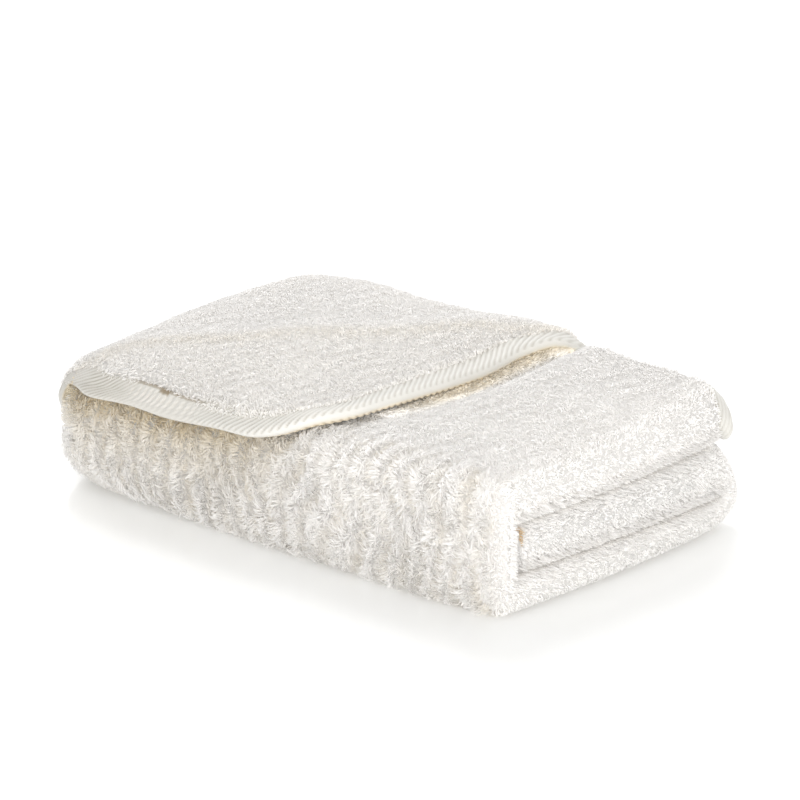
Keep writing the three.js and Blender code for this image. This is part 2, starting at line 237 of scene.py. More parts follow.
# The two-layer strip: its section across X, and its way up and down across Y
sideTurn = math.pi * turn
stripLeft = noseX + 0.6  # it stops just short of the flap's turn
sectionAt = chain((stripLeft + cloth["returnLeft"], -turn), math.pi, [
    (cloth["returnLeft"], 0),
    (sideTurn, -math.pi),
    (rightEnd - turn - stripLeft, 0),
    (sideTurn, -math.pi),
    (cloth["returnRight"], 0),
])
farRadius = (bandMiddle(2) - bandMiddle(0)) / 2
farCentre = cloth["farFold"] - farRadius - turn - half
joinStart = farCentre - 11  # the strip takes over from the middle sheet here
shoulderArc = math.pi / 2 * cloth["shoulder"]
foldAt = chain((joinStart, bandMiddle(2)), 0, [
    (farCentre - joinStart, 0),
    (math.pi * farRadius, -math.pi),
    (farCentre - nearLine - cloth["shoulder"], 0),
    (shoulderArc, -math.pi / 2),
    (bandMiddle(4) - bandMiddle(0) - 2 * cloth["shoulder"], 0),
    (shoulderArc, -math.pi / 2),
    (cloth["topEnd"] - nearLine - cloth["shoulder"], 0),
])
leftTurnStart, mainStart, mainEnd, rightTurnEnd = sectionAt.marks[1:5]
floorStart, floorEnd, faceStart, faceEnd, topStart, topEdge = foldAt.marks[2:8]


# A place on the strip: u along its section, v along its way, off from its middle
def stripPoint(u, v, off):
    a, b, way = sectionAt(u)
    y, z, heading = foldAt(v)
    n = b + off * np.cos(way)
    x, y, z = a - off * np.sin(way), y - n * np.sin(heading), z + n * np.cos(heading)
    pull = lie["upperPull"] + lie["cornerPull"] * smooth(-36, -50, y)
    return settle(x + pull * smooth(-40, stripLeft, x) * smooth(8, 20, z), y, z)


# The middle sheet: one return at the right, the middle layer, the turn up at the left end and the
# flap on top
flapAt = chain((rightEnd - turn - cloth["returnRight"], layerMiddle(2)), 0, [
    (cloth["returnRight"], 0),
    (sideTurn, math.pi),
    (rightEnd - turn - noseX, 0),
    (math.pi * noseTurn, -math.pi),
    (cloth["flapEnd"] - noseX, 0),
])
innerTurnStart, innerTurnEnd, noseStart, noseEnd, flapReach = flapAt.marks[1:6]
cornerStart = flapReach - cloth["flapCorner"]
shoulderOutside = cloth["shoulder"] + turn + half
# Where this sheet bends down, on the near side and on the far side: y, z, radius
bendNear = (cloth["shoulder"] + nearLine, evenTop - shoulderOutside, shoulderOutside + cloth["gap"] + half)
bendFar = (cloth["topEnd"] - 1, bandMiddle(4), noseTurn)
farTuck = bendFar[0] + 2 * math.pi / 3 * noseTurn  # the flap goes over the far edge to here


# A place on the middle sheet: u along it, v across it, off from its middle
def flapPoint(u, v, off):
    u, v, off = np.broadcast_arrays(u, v, off)
    a, b, way = flapAt(u)
    loose = smooth(cornerStart - 30, flapReach, u)
    beside = a - off * np.sin(way)
    onNose = smooth(noseX + 2, noseX - noseTurn, beside)
    swing = lie["flapSwing"] * loose * smooth(*lie["swingFrom"], v)
    x = beside + swing + lie["noseRound"] * onNose * smooth(-26, -46, v)
    sag = lie["noseSag"] * onNose * lerp(1, 0.3, smooth(layerMiddle(3), layerMiddle(6), b))
    z = b + off * np.cos(way) - sag + lie["flapLift"] * loose * smooth(15, 42, v)
    near = v < 0
    sign = np.where(near, -1, 1)
    bendY, bendZ, radius = (np.where(near, n, f) for n, f in zip(bendNear, bendFar))
    over = np.maximum(0, sign * (v - bendY))
    high = np.maximum(0, z - bendZ)
    bentY = np.where(over > 0, bendY + sign * high * np.sin(over / radius), v)
    bentZ = z - high * (1 - np.cos(over / radius))
    t = np.clip((z - bendZ) / (radius / 2), 0, 1)
    share = t * t * (3 - 2 * t)
    return settle(x, lerp(v, bentY, share), lerp(z, bentZ, share))


# How far the flap's round corner lies in from its near edge
def cornerRise(u):
    t = np.clip((u - cornerStart) / cloth["flapCorner"], 0, 1)
    return cloth["flapCorner"] * (1 - np.sqrt(1 - t * t))


def nearEdge(u):
    return lerp(cloth["slotEdge"], cloth["hangEdge"], smooth(-12, 36, u - noseStart)) + cornerRise(u)


def farEdge(u):
    return lerp(joinStart + 7, farTuck, smooth(2, 24, u - noseStart))


# Distance inwards from the flap's edge, round corner included
def tapeAway(u, v):
    du = u - cornerStart
    dv = cloth["hangEdge"] + cloth["flapCorner"] - v
    inCorner = cloth["flapCorner"] - np.hypot(du, dv)
    straight = np.minimum(v - (nearEdge(u) - cornerRise(u)), flapReach - u)
    return np.where((du > 0) & (dv > 0), inCorner, straight)


# How far a place on the strip lies beyond the flap's end
def fromFlap(u, v):
    return sectionAt(u)[0] - cloth["flapEnd"] - lie["flapSwing"] * smooth(*lie["swingFrom"], foldAt(v)[0])


# sRGB hex to linear RGBA
def linear(code):
    rgb = [int(code[i : i + 2], 16) / 255 for i in (1, 3, 5)]
    return [c / 12.92 if c <= 0.04045 else ((c + 0.055) / 1.055) ** 2.4 for c in rgb] + [1.0]


def addObject(name, data):
    made = bpy.data.objects.new(name, data)
    bpy.context.scene.collection.objects.link(made)
    return made


# Makes a smooth mesh from an array of points and an array of quads
def meshObject(name, verts, faces, material):
    faces = np.asarray(faces, np.int32)
    corners = faces.shape[1]
    mesh = bpy.data.meshes.new(name)
    mesh.vertices.add(len(verts))
    mesh.vertices.foreach_set("co", np.asarray(verts, np.float32).ravel())
    mesh.loops.add(faces.size)
    mesh.loops.foreach_set("vertex_index", faces.ravel())
    mesh.polygons.add(len(faces))
    mesh.polygons.foreach_set("loop_start", np.arange(0, faces.size, corners, dtype=np.int32))
    mesh.polygons.foreach_set("use_smooth", np.full(len(faces), True))
    mesh.update(calc_edges=True)
    mesh.validate()
    mesh.materials.append(material)
    return addObject(name, mesh)


# Gives each point of a piece a number, which its material reads
def attribute(piece, name, values):
    numbers = piece.data.attributes.new(name, "FLOAT", "POINT")
    numbers.data.foreach_set("value", np.asarray(values, np.float32))


# Adds a node; links maps an input to a value or to another node's output
def node(tree, kind, links=(), **settings):
    made = tree.nodes.new(kind)
    for key, value in settings.items():
        setattr(made, key, value)
    for key, value in dict(links).items():
        if isinstance(value, bpy.types.NodeSocket):
            tree.links.new(value, made.inputs[key])
        else:
            made.inputs[key].default_value = value
    return made


# Sockets that have only a number: those of a colour Mix node and of a Mix Shader
mixFactor, mixA, mixB, mixResult = 0, 6, 7, 2
shaderFactor, shaderA, shaderB = 0, 1, 2


def newMaterial(name):
    material = bpy.data.materials.new(name)
    material.use_nodes = True
    material.node_tree.nodes.clear()
    return material, material.node_tree


# Cotton terry, woven with loops on both faces and washed soft: ivory white and matt, with a faint
# sheen from its loose fibres. Light goes through its yarns, and deep places are painted warmer, as painted
# shade.
terryLook = dict(
    colour="#FDFCFB",
    deep="#DCCCA6",  # painted shade, where the loops shade each other
    # a small browner, darker spot on the right end
    brownSpot="#DDB978",
    roughness=0.7,
    sheen=0.3,
    specular=0.3,
    through=0.55,  # share of the light that goes through
)


def terryMaterial():
    made, tree = newMaterial("terry")
    tone = node(tree, "ShaderNodeAttribute", attribute_name="tone")
    shaded = node(tree, "ShaderNodeMix", {
        mixFactor: tone.outputs["Fac"],
        mixA: linear(terryLook["deep"]),
        mixB: linear(terryLook["colour"]),
    }, data_type="RGBA")
    spot = node(tree, "ShaderNodeAttribute", attribute_name="brownSpot")
    colour = node(tree, "ShaderNodeMix", {
        mixFactor: spot.outputs["Fac"],
        mixA: shaded.outputs[mixResult],
        mixB: linear(terryLook["brownSpot"]),
    }, data_type="RGBA")
    cotton = node(tree, "ShaderNodeBsdfPrincipled", {
        "Base Color": colour.outputs[mixResult],
        "Roughness": terryLook["roughness"],
        "Sheen Weight": terryLook["sheen"],
        "Specular IOR Level": terryLook["specular"],
    })
    through = node(tree, "ShaderNodeBsdfTranslucent", {"Color": colour.outputs[mixResult]})
    mixed = node(tree, "ShaderNodeMixShader", {
        shaderFactor: terryLook["through"],
        shaderA: cotton.outputs[0],
        shaderB: through.outputs[0],
    })
    node(tree, "ShaderNodeOutputMaterial", {"Surface": mixed.outputs[0]})
    return made


# Cotton twill tape, closely woven and sewn on: off-white and a little smoother than the terry, with
# slanted ribs that catch the light and fine threads between them
twillLook = dict(
    colour="#DBD9D3",
    valley="#8B7D66",  # painted shade between the ribs, along the seam and over the crumpled stretch
    warm="#F2E4C6",  # its underside, in the shade of the cloth
    roughness=0.6,
    sheen=0.2,
    specular=0.4,
    threadsPerCm=26,  # one each 0.38 mm
    threadDetail=3,
    threadHeight=0.2,  # millimetres
    threadStrength=0.25,
)


def twillMaterial():
    made, tree = newMaterial("binding")
    place = node(tree, "ShaderNodeTexCoord")
    tone = node(tree, "ShaderNodeAttribute", attribute_name="tone")
    valley = node(tree, "ShaderNodeAttribute", attribute_name="valley")
    sides = node(tree, "ShaderNodeMix", {
        mixFactor: tone.outputs["Fac"],
        mixA: linear(twillLook["warm"]),
        mixB: linear(twillLook["colour"]),
    }, data_type="RGBA")
    colour = node(tree, "ShaderNodeMix", {
        mixFactor: valley.outputs["Fac"],
        mixA: sides.outputs[mixResult],
        mixB: linear(twillLook["valley"]),
    }, data_type="RGBA")
    weave = node(tree, "ShaderNodeTexNoise", {
        "Vector": place.outputs["Object"],
        "Scale": twillLook["threadsPerCm"] * centimetres,
        "Detail": twillLook["threadDetail"],
    })
    bump = node(tree, "ShaderNodeBump", {
        "Strength": twillLook["threadStrength"],
        "Distance": twillLook["threadHeight"] / metre,
        "Height": weave.outputs["Fac"],
    })
    cotton = node(tree, "ShaderNodeBsdfPrincipled", {
        "Base Color": colour.outputs[mixResult],
        "Roughness": twillLook["roughness"],
        "Sheen Weight": twillLook["sheen"],
        "Specular IOR Level": twillLook["specular"],
        "Normal": bump.outputs[0],
    })
    node(tree, "ShaderNodeOutputMaterial", {"Surface": cotton.outputs[0]})
    return made


terry, twill = terryMaterial(), twillMaterial()
print("materials of the cloth and its tape are ready")

# The ground cloth that carries the loops. Its hidden faces are drawn full, as the pressed pile
# between layers.
groundCloth = dict(
    show=2.2,  # from its middle to a face that loops cover
    hidden=2.3,  # to a hidden face
    inTape=0.9,  # to a face inside the tape
    sunk=0.7,  # how much deeper it lies under the long locks of the near side
    wedge=4.2,  # painted shade, warmer, under the flap's lifted far end
    # painted shade: the ground cloth under the loops is a little darker and warmer
    tone=0.97,
    wedgeShade=0.4,  # how much warmer it is there
    stepU=2.5,  # between points along X
    stepV=2.2,  # and across
    flapRows=52,  # rows of points across the flap
    underTape=(7.4, 6.2),  # it thins between these distances from the bound edge
)
tapeRim = np.array([7.4, 6, 3, 0])  # rows of points inside the tape, as distances from the edge


# Quads of both faces and the rim of an m by n sheet: outer points first, then inner ones
def sheetFaces(m, n):
    i, j = np.meshgrid(np.arange(m - 1), np.arange(n - 1), indexing="ij")
    a, b, c, d = (k.ravel() for k in (i * n + j, (i + 1) * n + j, (i + 1) * n + j + 1, i * n + j + 1))
    quads = [np.stack([a, b, c, d], 1), np.stack([a, d, c, b], 1) + m * n]
    edges = [np.arange(m) * n, np.arange(m) * n + n - 1, np.arange(n), (m - 1) * n + np.arange(n)]
    for k, edge in enumerate(edges):
        p, q = edge[:-1], edge[1:]
        rim = np.stack([q, p, p + m * n, q + m * n], 1)
        quads.append(rim if k in (0, 3) else rim[:, ::-1])
    return np.concatenate(quads)


# Places along a line: its marks, and others about a step apart between them
def stations(marks, step):
    runs = []
    for a, b in zip(marks[:-1], marks[1:]):
        runs.append(np.linspace(a, b, max(2, int(round((b - a) / step)) + 1)))
    return np.unique(np.concatenate(runs))


# Fullness of the top layer's pile under the flap's lifted far end
def underFar(u, v):
    beyond = fromFlap(u, v)
    fullness = groundCloth["wedge"] * smooth(-16, -9, beyond) * smooth(11, -1, beyond)
    return fullness * np.clip((foldAt(v)[0] - 4) / 30, 0, 1.35) * (v > topStart)


def bothFaces(point, u, v, outer, inner):
    return np.concatenate([point(u, v, outer).reshape(-1, 3), point(u, v, -inner).reshape(-1, 3)])


show, hidden, inTape = groundCloth["show"], groundCloth["hidden"], groundCloth["inTape"]
thinEnd, thinStart = groundCloth["underTape"]

# Its strip
stripU = stations(sectionAt.marks, groundCloth["stepU"])
stripV = stations(np.append(foldAt.marks[:-1], topEdge - tapeRim), groundCloth["stepV"])
u, v = np.meshgrid(stripU, stripV, indexing="ij")
onFloor = between(v, floorStart + 4, floorEnd - 5) * between(u, leftTurnStart + 6, rightTurnEnd - 6)
sunk = groundCloth["sunk"] * between(v, floorEnd - 2, topStart + 2)
fullness = underFar(u, v)
behindTape = smooth(-thinStart, -thinEnd, v - topEdge)
outer = lerp(inTape, lerp(show - sunk, hidden, onFloor) + fullness, behindTape)
inner = lerp(inTape, np.full_like(u, hidden), behindTape)
stripPoints = bothFaces(stripPoint, u, v, outer, inner)
# Share of painted shade under the flap's lifted far end
wedgeShadeShare = (fullness / groundCloth["wedge"]).ravel()

# Its middle sheet with the flap
flapStations = np.concatenate([flapAt.marks[:5], [cornerStart], flapReach - 0.01 - tapeRim])
flapU = stations(flapStations, groundCloth["stepU"])
near, far = nearEdge(flapU)[:, None], farEdge(flapU)[:, None]
across = np.linspace(0, 1, groundCloth["flapRows"])
v = np.concatenate([near + tapeRim[:0:-1], lerp(near + tapeRim[0], far, across)], 1)
u = np.repeat(flapU[:, None], v.shape[1], 1)
outer = lerp(hidden, show, smooth(noseStart - 12, noseStart - 4, u))
innerTurn = lerp(hidden, show, between(u, innerTurnStart - 3, innerTurnEnd + 3))
innerEnd = lerp(hidden, show, smooth(flapReach - 16, flapReach - 10, u))
inner = np.where(u < noseStart, innerTurn, innerEnd)
underTape = smooth(thinEnd, thinStart, tapeAway(u, v)) * smooth(noseStart - 16, noseStart - 12, u)
outer, inner = lerp(outer, inTape, underTape), lerp(inner, inTape, underTape)
flapPoints = bothFaces(flapPoint, u, v, outer, inner)

stripFaces, flapFaces = sheetFaces(len(stripU), len(stripV)), sheetFaces(len(flapU), v.shape[1])
groundFaces = np.concatenate([stripFaces, flapFaces + len(stripPoints)])
ground = meshObject("cloth_ground", np.concatenate([stripPoints, flapPoints]), groundFaces, terry)
# Painted shade: the ground cloth is warmer and darker under the flap's lifted far end
shade = np.zeros(len(ground.data.vertices))
shade[: len(wedgeShadeShare)] = wedgeShadeShare
attribute(ground, "tone", groundCloth["tone"] - groundCloth["wedgeShade"] * shade)
print("ground cloth:", len(groundFaces) * 2, "triangles")

# The loops, drawn as flat strands: fewer and broader than real yarns, so that they show
pile = dict(
    perMm2=3.9,
    height=1.15,  # over the ground cloth
    heightRange=(0.8, 1.12),  # share of it from strand to strand
    rootDepth=0.8,  # share of the ground cloth's thickness at which a root sits
    lowest=0.3,  # height over the floor that no loop goes below
    strand=0.31,  # width of a strand
    strandRange=(0.75, 1.25),  # share of it from strand to strand
    tipWidth=0.45,  # share of it at the tip
    points=3,  # along a strand
    bend=0.62,  # share of a half circle that it rises through
    lean=1.5,  # how far its tip lies beside its root
    leanRange=(0.3, 1.5),  # share of it from strand to strand
    stray=0.9,  # radians between the ways that neighbours lean
    twist=0.5,  # radians that the flat strand is turned about its length
    clump=2.6,  # strands across a lock
    fan=0.3,  # how far the strands of a lock spread
    lockStray=0.22,  # stray inside a lock
    inLocks=0.95,  # share of the strands that follow their lock
    lump=1.9,  # height of the swells on the near side
    lumpPitch=7,  # from one swell to the next
    trough=0.2,  # shade between them
    tone=0.96,  # at the root, painted shade deep in the pile
    tipTone=0.04,  # what the tip adds
    speckle=0.018,  # difference of tone from strand to strand
)


# Random places on a face of a sheet, evenly spread over its outer surface
def scatter(point, side, uRange, vRange, density, keep):
    offTop = side * (half + 0.3)
    nudge = 0.05
    probes = 4000

    # Area of the surface in the frame for each square millimetre of the sheet
    def stretch(u, v):
        at = point(u, v, offTop)
        alongU, alongV = point(u + nudge, v, offTop) - at, point(u, v + nudge, offTop) - at
        return np.linalg.norm(np.cross(alongU, alongV), axis=-1) / (nudge / metre) ** 2

    probeU, probeV = rng.uniform(*uRange, probes), rng.uniform(*vRange, probes)
    most = np.quantile(stretch(probeU, probeV), 0.995) * density  # leaves out a few odd places
    step = 1 / math.sqrt(most)
    u, v = np.meshgrid(np.arange(*uRange, step), np.arange(*vRange, step), indexing="ij")
    u, v = u + rng.uniform(0, step, u.shape), v + rng.uniform(0, step, u.shape)
    u, v = u.ravel(), v.ravel()
    chosen = keep(u, v) & (rng.uniform(size=len(u)) < stretch(u, v) * density / most)
    return u[chosen], v[chosen]


# Uneven swells and grooves, from 0 to 1, over a sheet's face
def lumps(u, v):
    bent = u + 2.2 * np.sin(v / 4.3 + 2.5 * np.sin(u / 17))
    phase = 2 * math.pi * bent / pile["lumpPitch"] + 1.6 * np.sin(u / 11 + v / 8)
    return 0.5 + 0.5 * np.sin(phase) * (0.7 + 0.3 * np.sin(v / 3.1 + u / 5))


# Picks count of these places as the middles of locks. For each place it gives back the middle of
# the nearest lock and that lock's number.
def gather(places, count):
    middles = rng.choice(len(places), count, replace=False)
    tree = KDTree(count)
    for i, k in enumerate(middles):
        tree.insert(places[k], i)
    tree.balance()
    lock = np.array([tree.find(place)[1] for place in places])
    return middles[lock], lock


# Centre lines of loops at these places, as points of each loop, and their tones. tall and size scale
# the loops, and tuft goes from 0, where they stand loose, to 1, where they gather in locks, which
# groove stretches. dark adds shade, pull draws the tips along X and lift raises the roots. side is 1
# for a sheet's outer face and -1 for its inner one.
def loops(point, side, u, v, groove=(1, 1), tall=1.0, size=1.0, tuft=0.0, dark=None, pull=None, lift=None):
    n = len(u)
    nudge = 0.2
    root = groundCloth["show"] * pile["rootDepth"] - groundCloth["sunk"] * tuft
    base = point(u, v, side * root)
    normal = unit(point(u, v, side * (half + 1)) - base)
    alongU = unit(point(u + nudge, v, side * half) - point(u - nudge, v, side * half))
    alongV = unit(np.cross(normal, alongU))
    swell = pile["lump"] * tuft
    lump = swell * lumps(u, v)
    slopeU = (swell * lumps(u + nudge, v) - lump) / nudge
    slopeV = (swell * lumps(u, v + nudge) - lump) / nudge
    base = base + normal * (lump - 0.15 * swell)[:, None] / metre

    # The way they lean drifts over the cloth
    x, y, z = (base * metre).T
    swirl = 2.2 * np.sin(x / 11 + 1.7 * np.sin(y / 9)) + 2 * np.sin(y / 7 + z / 6 + 1.3)
    way = size * swirl + rng.normal(0, pile["stray"] / size, n)
    lean = size * pile["lean"] * rng.uniform(*pile["leanRange"], n)

    # Locks: the strands of one lean alike, close up to its middle and are lower at its rim
    clump = pile["clump"] * (1 + 0.7 * tuft)
    count = max(2, int(n / (clump * clump)))
    middle, lock = gather(np.stack([u * groove[0], v * groove[1], np.zeros(n)], 1), count)
    lockWay = rng.uniform(0, 2 * math.pi, count)[lock]
    lockTall = rng.uniform(1 - 0.5 * tuft, 1 + 0.25 * tuft, count)[lock]
    together = rng.uniform(size=n) < pile["inLocks"] * tuft
    way = np.where(together, lockWay + rng.normal(0, pile["lockStray"], n), way)
    toU = (u - u[middle]) * pile["fan"] * (1 + tuft) - slopeU
    toV = (v - v[middle]) * pile["fan"] * (1 + tuft) - slopeV
    away = np.hypot((u[middle] - u) * groove[0], (v[middle] - v) * groove[1])
    hollow = (0.15 + 0.2 * tuft) * np.clip(away / clump, 0, 1.3) ** 2
    height = pile["height"] * tall * lockTall * rng.uniform(*pile["heightRange"], n) * (1.05 - hollow)

    tip = (np.cos(way) * lean + toU)[:, None] * alongU + (np.sin(way) * lean + toV)[:, None] * alongV
    if pull is not None:
        tip = tip + pull(u, v)[:, None] * np.array([1.0, 0, 0])
    if lift is not None:
        base = base + normal * lift(u, v)[:, None] / metre
    t = np.linspace(0, 1, pile["points"])
    rise = np.sin(t * math.pi * pile["bend"])
    up = normal[:, None] * (rise[None, :, None] * height[:, None, None]) / metre
    out = tip[:, None] * t[None, :, None] ** 1.3 / metre
    lines = base[:, None] + up + out
    lines[..., 2] = np.maximum(lines[..., 2], pile["lowest"] / metre)

    lit = 1 - pile["trough"] * tuft**2 * (1 - lumps(u, v)) ** 2
    if dark is not None:
        lit = lit * (1 - np.clip(dark(u, v), 0, 1))
    tones = (pile["tone"] + pile["tipTone"] * rise[None]) * lit[:, None]
    return lines, np.clip(tones + rng.normal(0, pile["speckle"], (n, 1)), 0, 1)


# Joins centre lines into one mesh of soft flat strands
def strands(name, lines, tones):
    n, p = lines.shape[:2]
    way = unit(np.gradient(lines, axis=1))
    first, last = lines[:, p // 2] - lines[:, 0], lines[:, -1] - lines[:, p // 2]
    plane = unit(np.cross(first, last) + 1e-9)[:, None]
    other = np.cross(way, plane)
    along = np.linspace(-1, 1, p)[None, :, None]
    twist = rng.normal(0, pile["twist"], (n, 1, 1)) + rng.normal(0, pile["twist"], (n, 1, 1)) * along
    broad = plane * np.cos(twist) + other * np.sin(twist)
    taper = np.interp(np.linspace(0, 1, p), [0, 0.7, 1], [1, 1, pile["tipWidth"]])[None, :, None]
    width = pile["strand"] / (2 * metre) * rng.uniform(*pile["strandRange"], (n, 1, 1)) * taper
    verts = np.stack([lines + broad * width, lines - broad * width], 2)
    i, j = np.meshgrid(np.arange(n), np.arange(p - 1), indexing="ij")
    at = (i * p + j) * 2
    quads = np.stack([at, at + 1, at + 3, at + 2], -1).reshape(-1, 4)
    piece = meshObject(name, verts.reshape(-1, 3), quads, terry)
    attribute(piece, "tone", np.repeat(tones, 2, axis=1).ravel())
    print(name + ":", n, "strands,", len(quads) * 2, "triangles")
    return piece


# The twill tape, folded over the bound edge
tape = dict(
    width=7.6,  # as it shows on each face
    thick=3.8,  # bound edge over both walls of the tape
    wall=0.9,
    gap=0.3,  # between the tape and the cloth inside it
    rim=1.9,  # how far in from its outermost line its round rim begins
    facePoints=14,  # across each face
    rimPoints=8,  # round each quarter of the rim
    edgePoints=(200, 40, 120),  # along the flap's near edge, round its corner and along its end
    start=14,  # it begins this far before the flap's turn
    step=0.28,  # between sections along the flap's tape; twice that along the top's
    rib=2.3,  # from rib to rib, a little coarser than real so that they show
    ribHeight=0.6,
    ribSlant=-1.4,  # how far a rib runs along for each millimetre across
    ribSink=0.75,  # share of their height that lies below the tape's face
    ribRound=0.6,  # 1 would be a plain wave, less is broader on top
    ribShade=0.55,  # painted shade between the ribs
    rimFade=0.5,  # the ribs grow from the rim over this width
    crumpled=(62, 96),  # the crumpled stretch, along the flap's tape
    flattened=0.7,  # share of their height that the ribs lose there
    pucker=0.3,  # height of the creases there, beside the seam
    puckerPitch=2.7,  # from one crease to the next
    puckerMiddle=2.8,  # where they are highest, in from the edge
    puckerReach=2.1,
    seam=(5.3, 7),  # the sewing line, as distances in from the edge
    # painted shade along the sewing line, where the pile meets the tape
    seamShade=0.75,
    stretchShade=0.14,  # painted shade over that stretch and before it
    shadeBefore=45,  # this far before it
)
tapeMouth = tape["width"] - tape["wall"] - tape["gap"]  # the pile starts here, behind the tape

# Shade on the pile, as shares of its tone
shades = dict(
    hanging=0.22,  # on the near side below the flap's hanging edge
    hangingClose=0.45,  # and close under it
    flapEnd=0.5,  # on the top layer by the flap's end
    ridge=0.1,  # in front of the ridge that crosses the flap
    beforeRidge=0.03,
    turns=0.06,  # where the folds of the right end meet
    underFlap=0.5,
    inNose=0.4,
)


# Warm shade below the flap's hanging edge
def underEdge(u, v):
    below = shades["hanging"] * smooth(faceStart - 4, faceEnd + 2, v)
    close = shades["hangingClose"] * smooth(faceEnd - 1, faceEnd + 4, v)
    return (below + close) * smooth(24, -20, sectionAt(u)[0])


# Warm shade on the top layer by the flap's end
def besideFlap(u, v):
    return shades["flapEnd"] * smooth(9, 0, fromFlap(u, v)) * smooth(topStart + 6, topStart + 50, v)


# Faint shade in front of the ridge that crosses the flap
def byRidge(u, v):
    across = acrossRidge(noseX + u - noseEnd, v)
    close = shades["ridge"] * np.exp(-(((across + 3) / 4) ** 2))
    return close + shades["beforeRidge"] * smooth(0, -8, across)


# The same shade all over
def evenShade(share):
    def shadeAt(u, v):
        return np.full(len(u), share)

    return shadeAt


# Grows up to most towards the outer side of the turn from a to b, where it meets another layer, or
# towards both of its sides. start is the share of the way at which it begins.
def atTurn(a, b, most, start=0.6, bothSides=False):
    def grow(u, v):
        at = (u - (a + b) / 2) / ((b - a) / 2)
        return most * smooth(start, 1.0, np.abs(at) if bothSides else at)

    return grow


# The strip's outer face where the flap doesn't hide it
def notHidden(u, v):
    underFlap = (sectionAt(u)[0] < cloth["flapEnd"] - 14) & (v > faceEnd) & (foldAt(v)[0] > -36)
    return ~underFlap & (v < topEdge - tapeMouth)


# The flap's outer face. Its loops lap over the tape, most at the corner and least where it crumples.
def onFlap(u, v):
    lap = 1.5 - 0.9 * between(u, noseStart + 16, noseStart + 84, 14)
    lap = lap - 0.5 * between(u, noseStart + 47, noseStart + 82, 8)
    lap = lap + 2 * np.exp(-(((u - cornerStart + 4) / 20) ** 2)) * smooth(-14, -32, v)
    return (tapeAway(u, v) > tapeMouth - lap) & (v < farEdge(u) - 0.5)


def insideTape(u, v):
    return tapeAway(u, v) > tapeMouth


# The strip of pile that shows inside the flap's turn
def inNose(u, v):
    return (v > nearEdge(u) + tapeMouth) & (v < nearEdge(u) + 24)


def atFlapEnd(u, v):
    return (fromFlap(u, v) > -12) & (fromFlap(u, v) < 6)


def everywhere(u, v):
    return np.full(len(u), True)


# Where each piece of the pile grows, and how. point is the sheet and side its face, u and v are
# ranges on it, and density counts times pile["perMm2"]; the rest goes to loops().
flapMiddle = noseEnd + 34  # the flap's pile is two pieces that meet here
nearMiddle = mainStart + 78  # and so is the near side's
midTurn = (mainEnd + rightTurnEnd) / 2
tipPull = 5  # how far loops are drawn along X where the right end's folds meet
nearSide = (floorEnd - 6, topStart + 1)
onTheFlap = dict(point=flapPoint, side=1, v=(-52, farTuck), keep=onFlap, tuft=0.3, size=0.75, dark=byRidge)
nearLocks = dict(
    point=stripPoint, side=1, v=nearSide, groove=(1.2, 0.6), tall=1.4, size=1.1, density=1.4, dark=underEdge,
)
pilePatches = {
    "pile_flap_left": [dict(onTheFlap, u=(noseStart - 6, flapMiddle))],
    "pile_flap_right": [dict(onTheFlap, u=(flapMiddle, flapReach))],
    "pile_near_left": [dict(nearLocks, u=(mainStart, nearMiddle), tuft=1.0)],
    "pile_near_right": [dict(nearLocks, u=(nearMiddle, mainEnd), tuft=0.9)],
    "pile_top": [
        dict(
            point=stripPoint, side=1, u=(mainStart + 74, mainEnd), v=(nearSide[1], topEdge),
            tuft=0.3, size=0.8, dark=besideFlap, lift=underFar,
        ),
    ],
    "pile_under_flap": [
        dict(
            point=stripPoint, side=1, u=(mainStart + 85, mainStart + 125), v=(topStart + 15, topEdge),
            keep=atFlapEnd, density=1.3, dark=besideFlap, lift=underFar,
        ),
        dict(
            point=flapPoint, side=-1, u=(flapReach - 14, flapReach), v=(-40, farTuck - 4),
            keep=insideTape, density=0.5, tall=0.7, dark=evenShade(shades["underFlap"]),
        ),
    ],
    "pile_ends": [
        dict(point=stripPoint, side=1, u=(mainEnd, midTurn), v=(0, topEdge), size=0.4, tall=0.65),
        dict(
            point=stripPoint, side=1, u=(midTurn, rightTurnEnd + 3), v=(0, topEdge),
            density=1.15, size=0.4, tall=0.6, pull=atTurn(mainEnd, rightTurnEnd, tipPull, 0.05),
            dark=atTurn(mainEnd, rightTurnEnd, shades["turns"]),
        ),
        dict(
            point=flapPoint, side=-1, u=(innerTurnStart - 3, innerTurnEnd + 3), v=(-37, 34),
            density=1.15, size=0.4, tall=0.6,
            pull=atTurn(innerTurnStart, innerTurnEnd, tipPull, 0.2, bothSides=True),
            dark=atTurn(innerTurnStart, innerTurnEnd, shades["turns"], bothSides=True),
        ),
    ],
    "pile_back": [
        dict(
            point=stripPoint, side=1, u=(leftTurnStart - 4, mainStart), v=(0, topStart + 12),
            density=0.6, tuft=0.6, tall=1.3,
        ),
        dict(
            point=stripPoint, side=1, u=(leftTurnStart - 2, mainStart + 2), v=(faceStart + 6, topStart + 14),
            keep=everywhere, density=0.6, tall=2.7, dark=underEdge,
        ),
        dict(
            point=flapPoint, side=-1, u=(noseStart - 6, noseEnd + 6), v=(-52, 0),
            keep=inNose, density=0.5, tall=1.5, dark=evenShade(shades["inNose"]),
        ),
        dict(point=stripPoint, side=1, u=(mainStart, mainEnd), v=(4, floorStart + 8), density=0.3),
    ],
}


# Scatters places over one patch and grows their loops
def growPatch(point, side, u, v, keep=notHidden, density=1, **how):
    places = scatter(point, side, u, v, density * pile["perMm2"], keep)
    return loops(point, side, *places, **how)


pilePieces = {}
for name, patches in pilePatches.items():
    grown = [growPatch(**patch) for patch in patches]
    pilePieces[name] = strands(name, *(np.concatenate(part) for part in zip(*grown)))

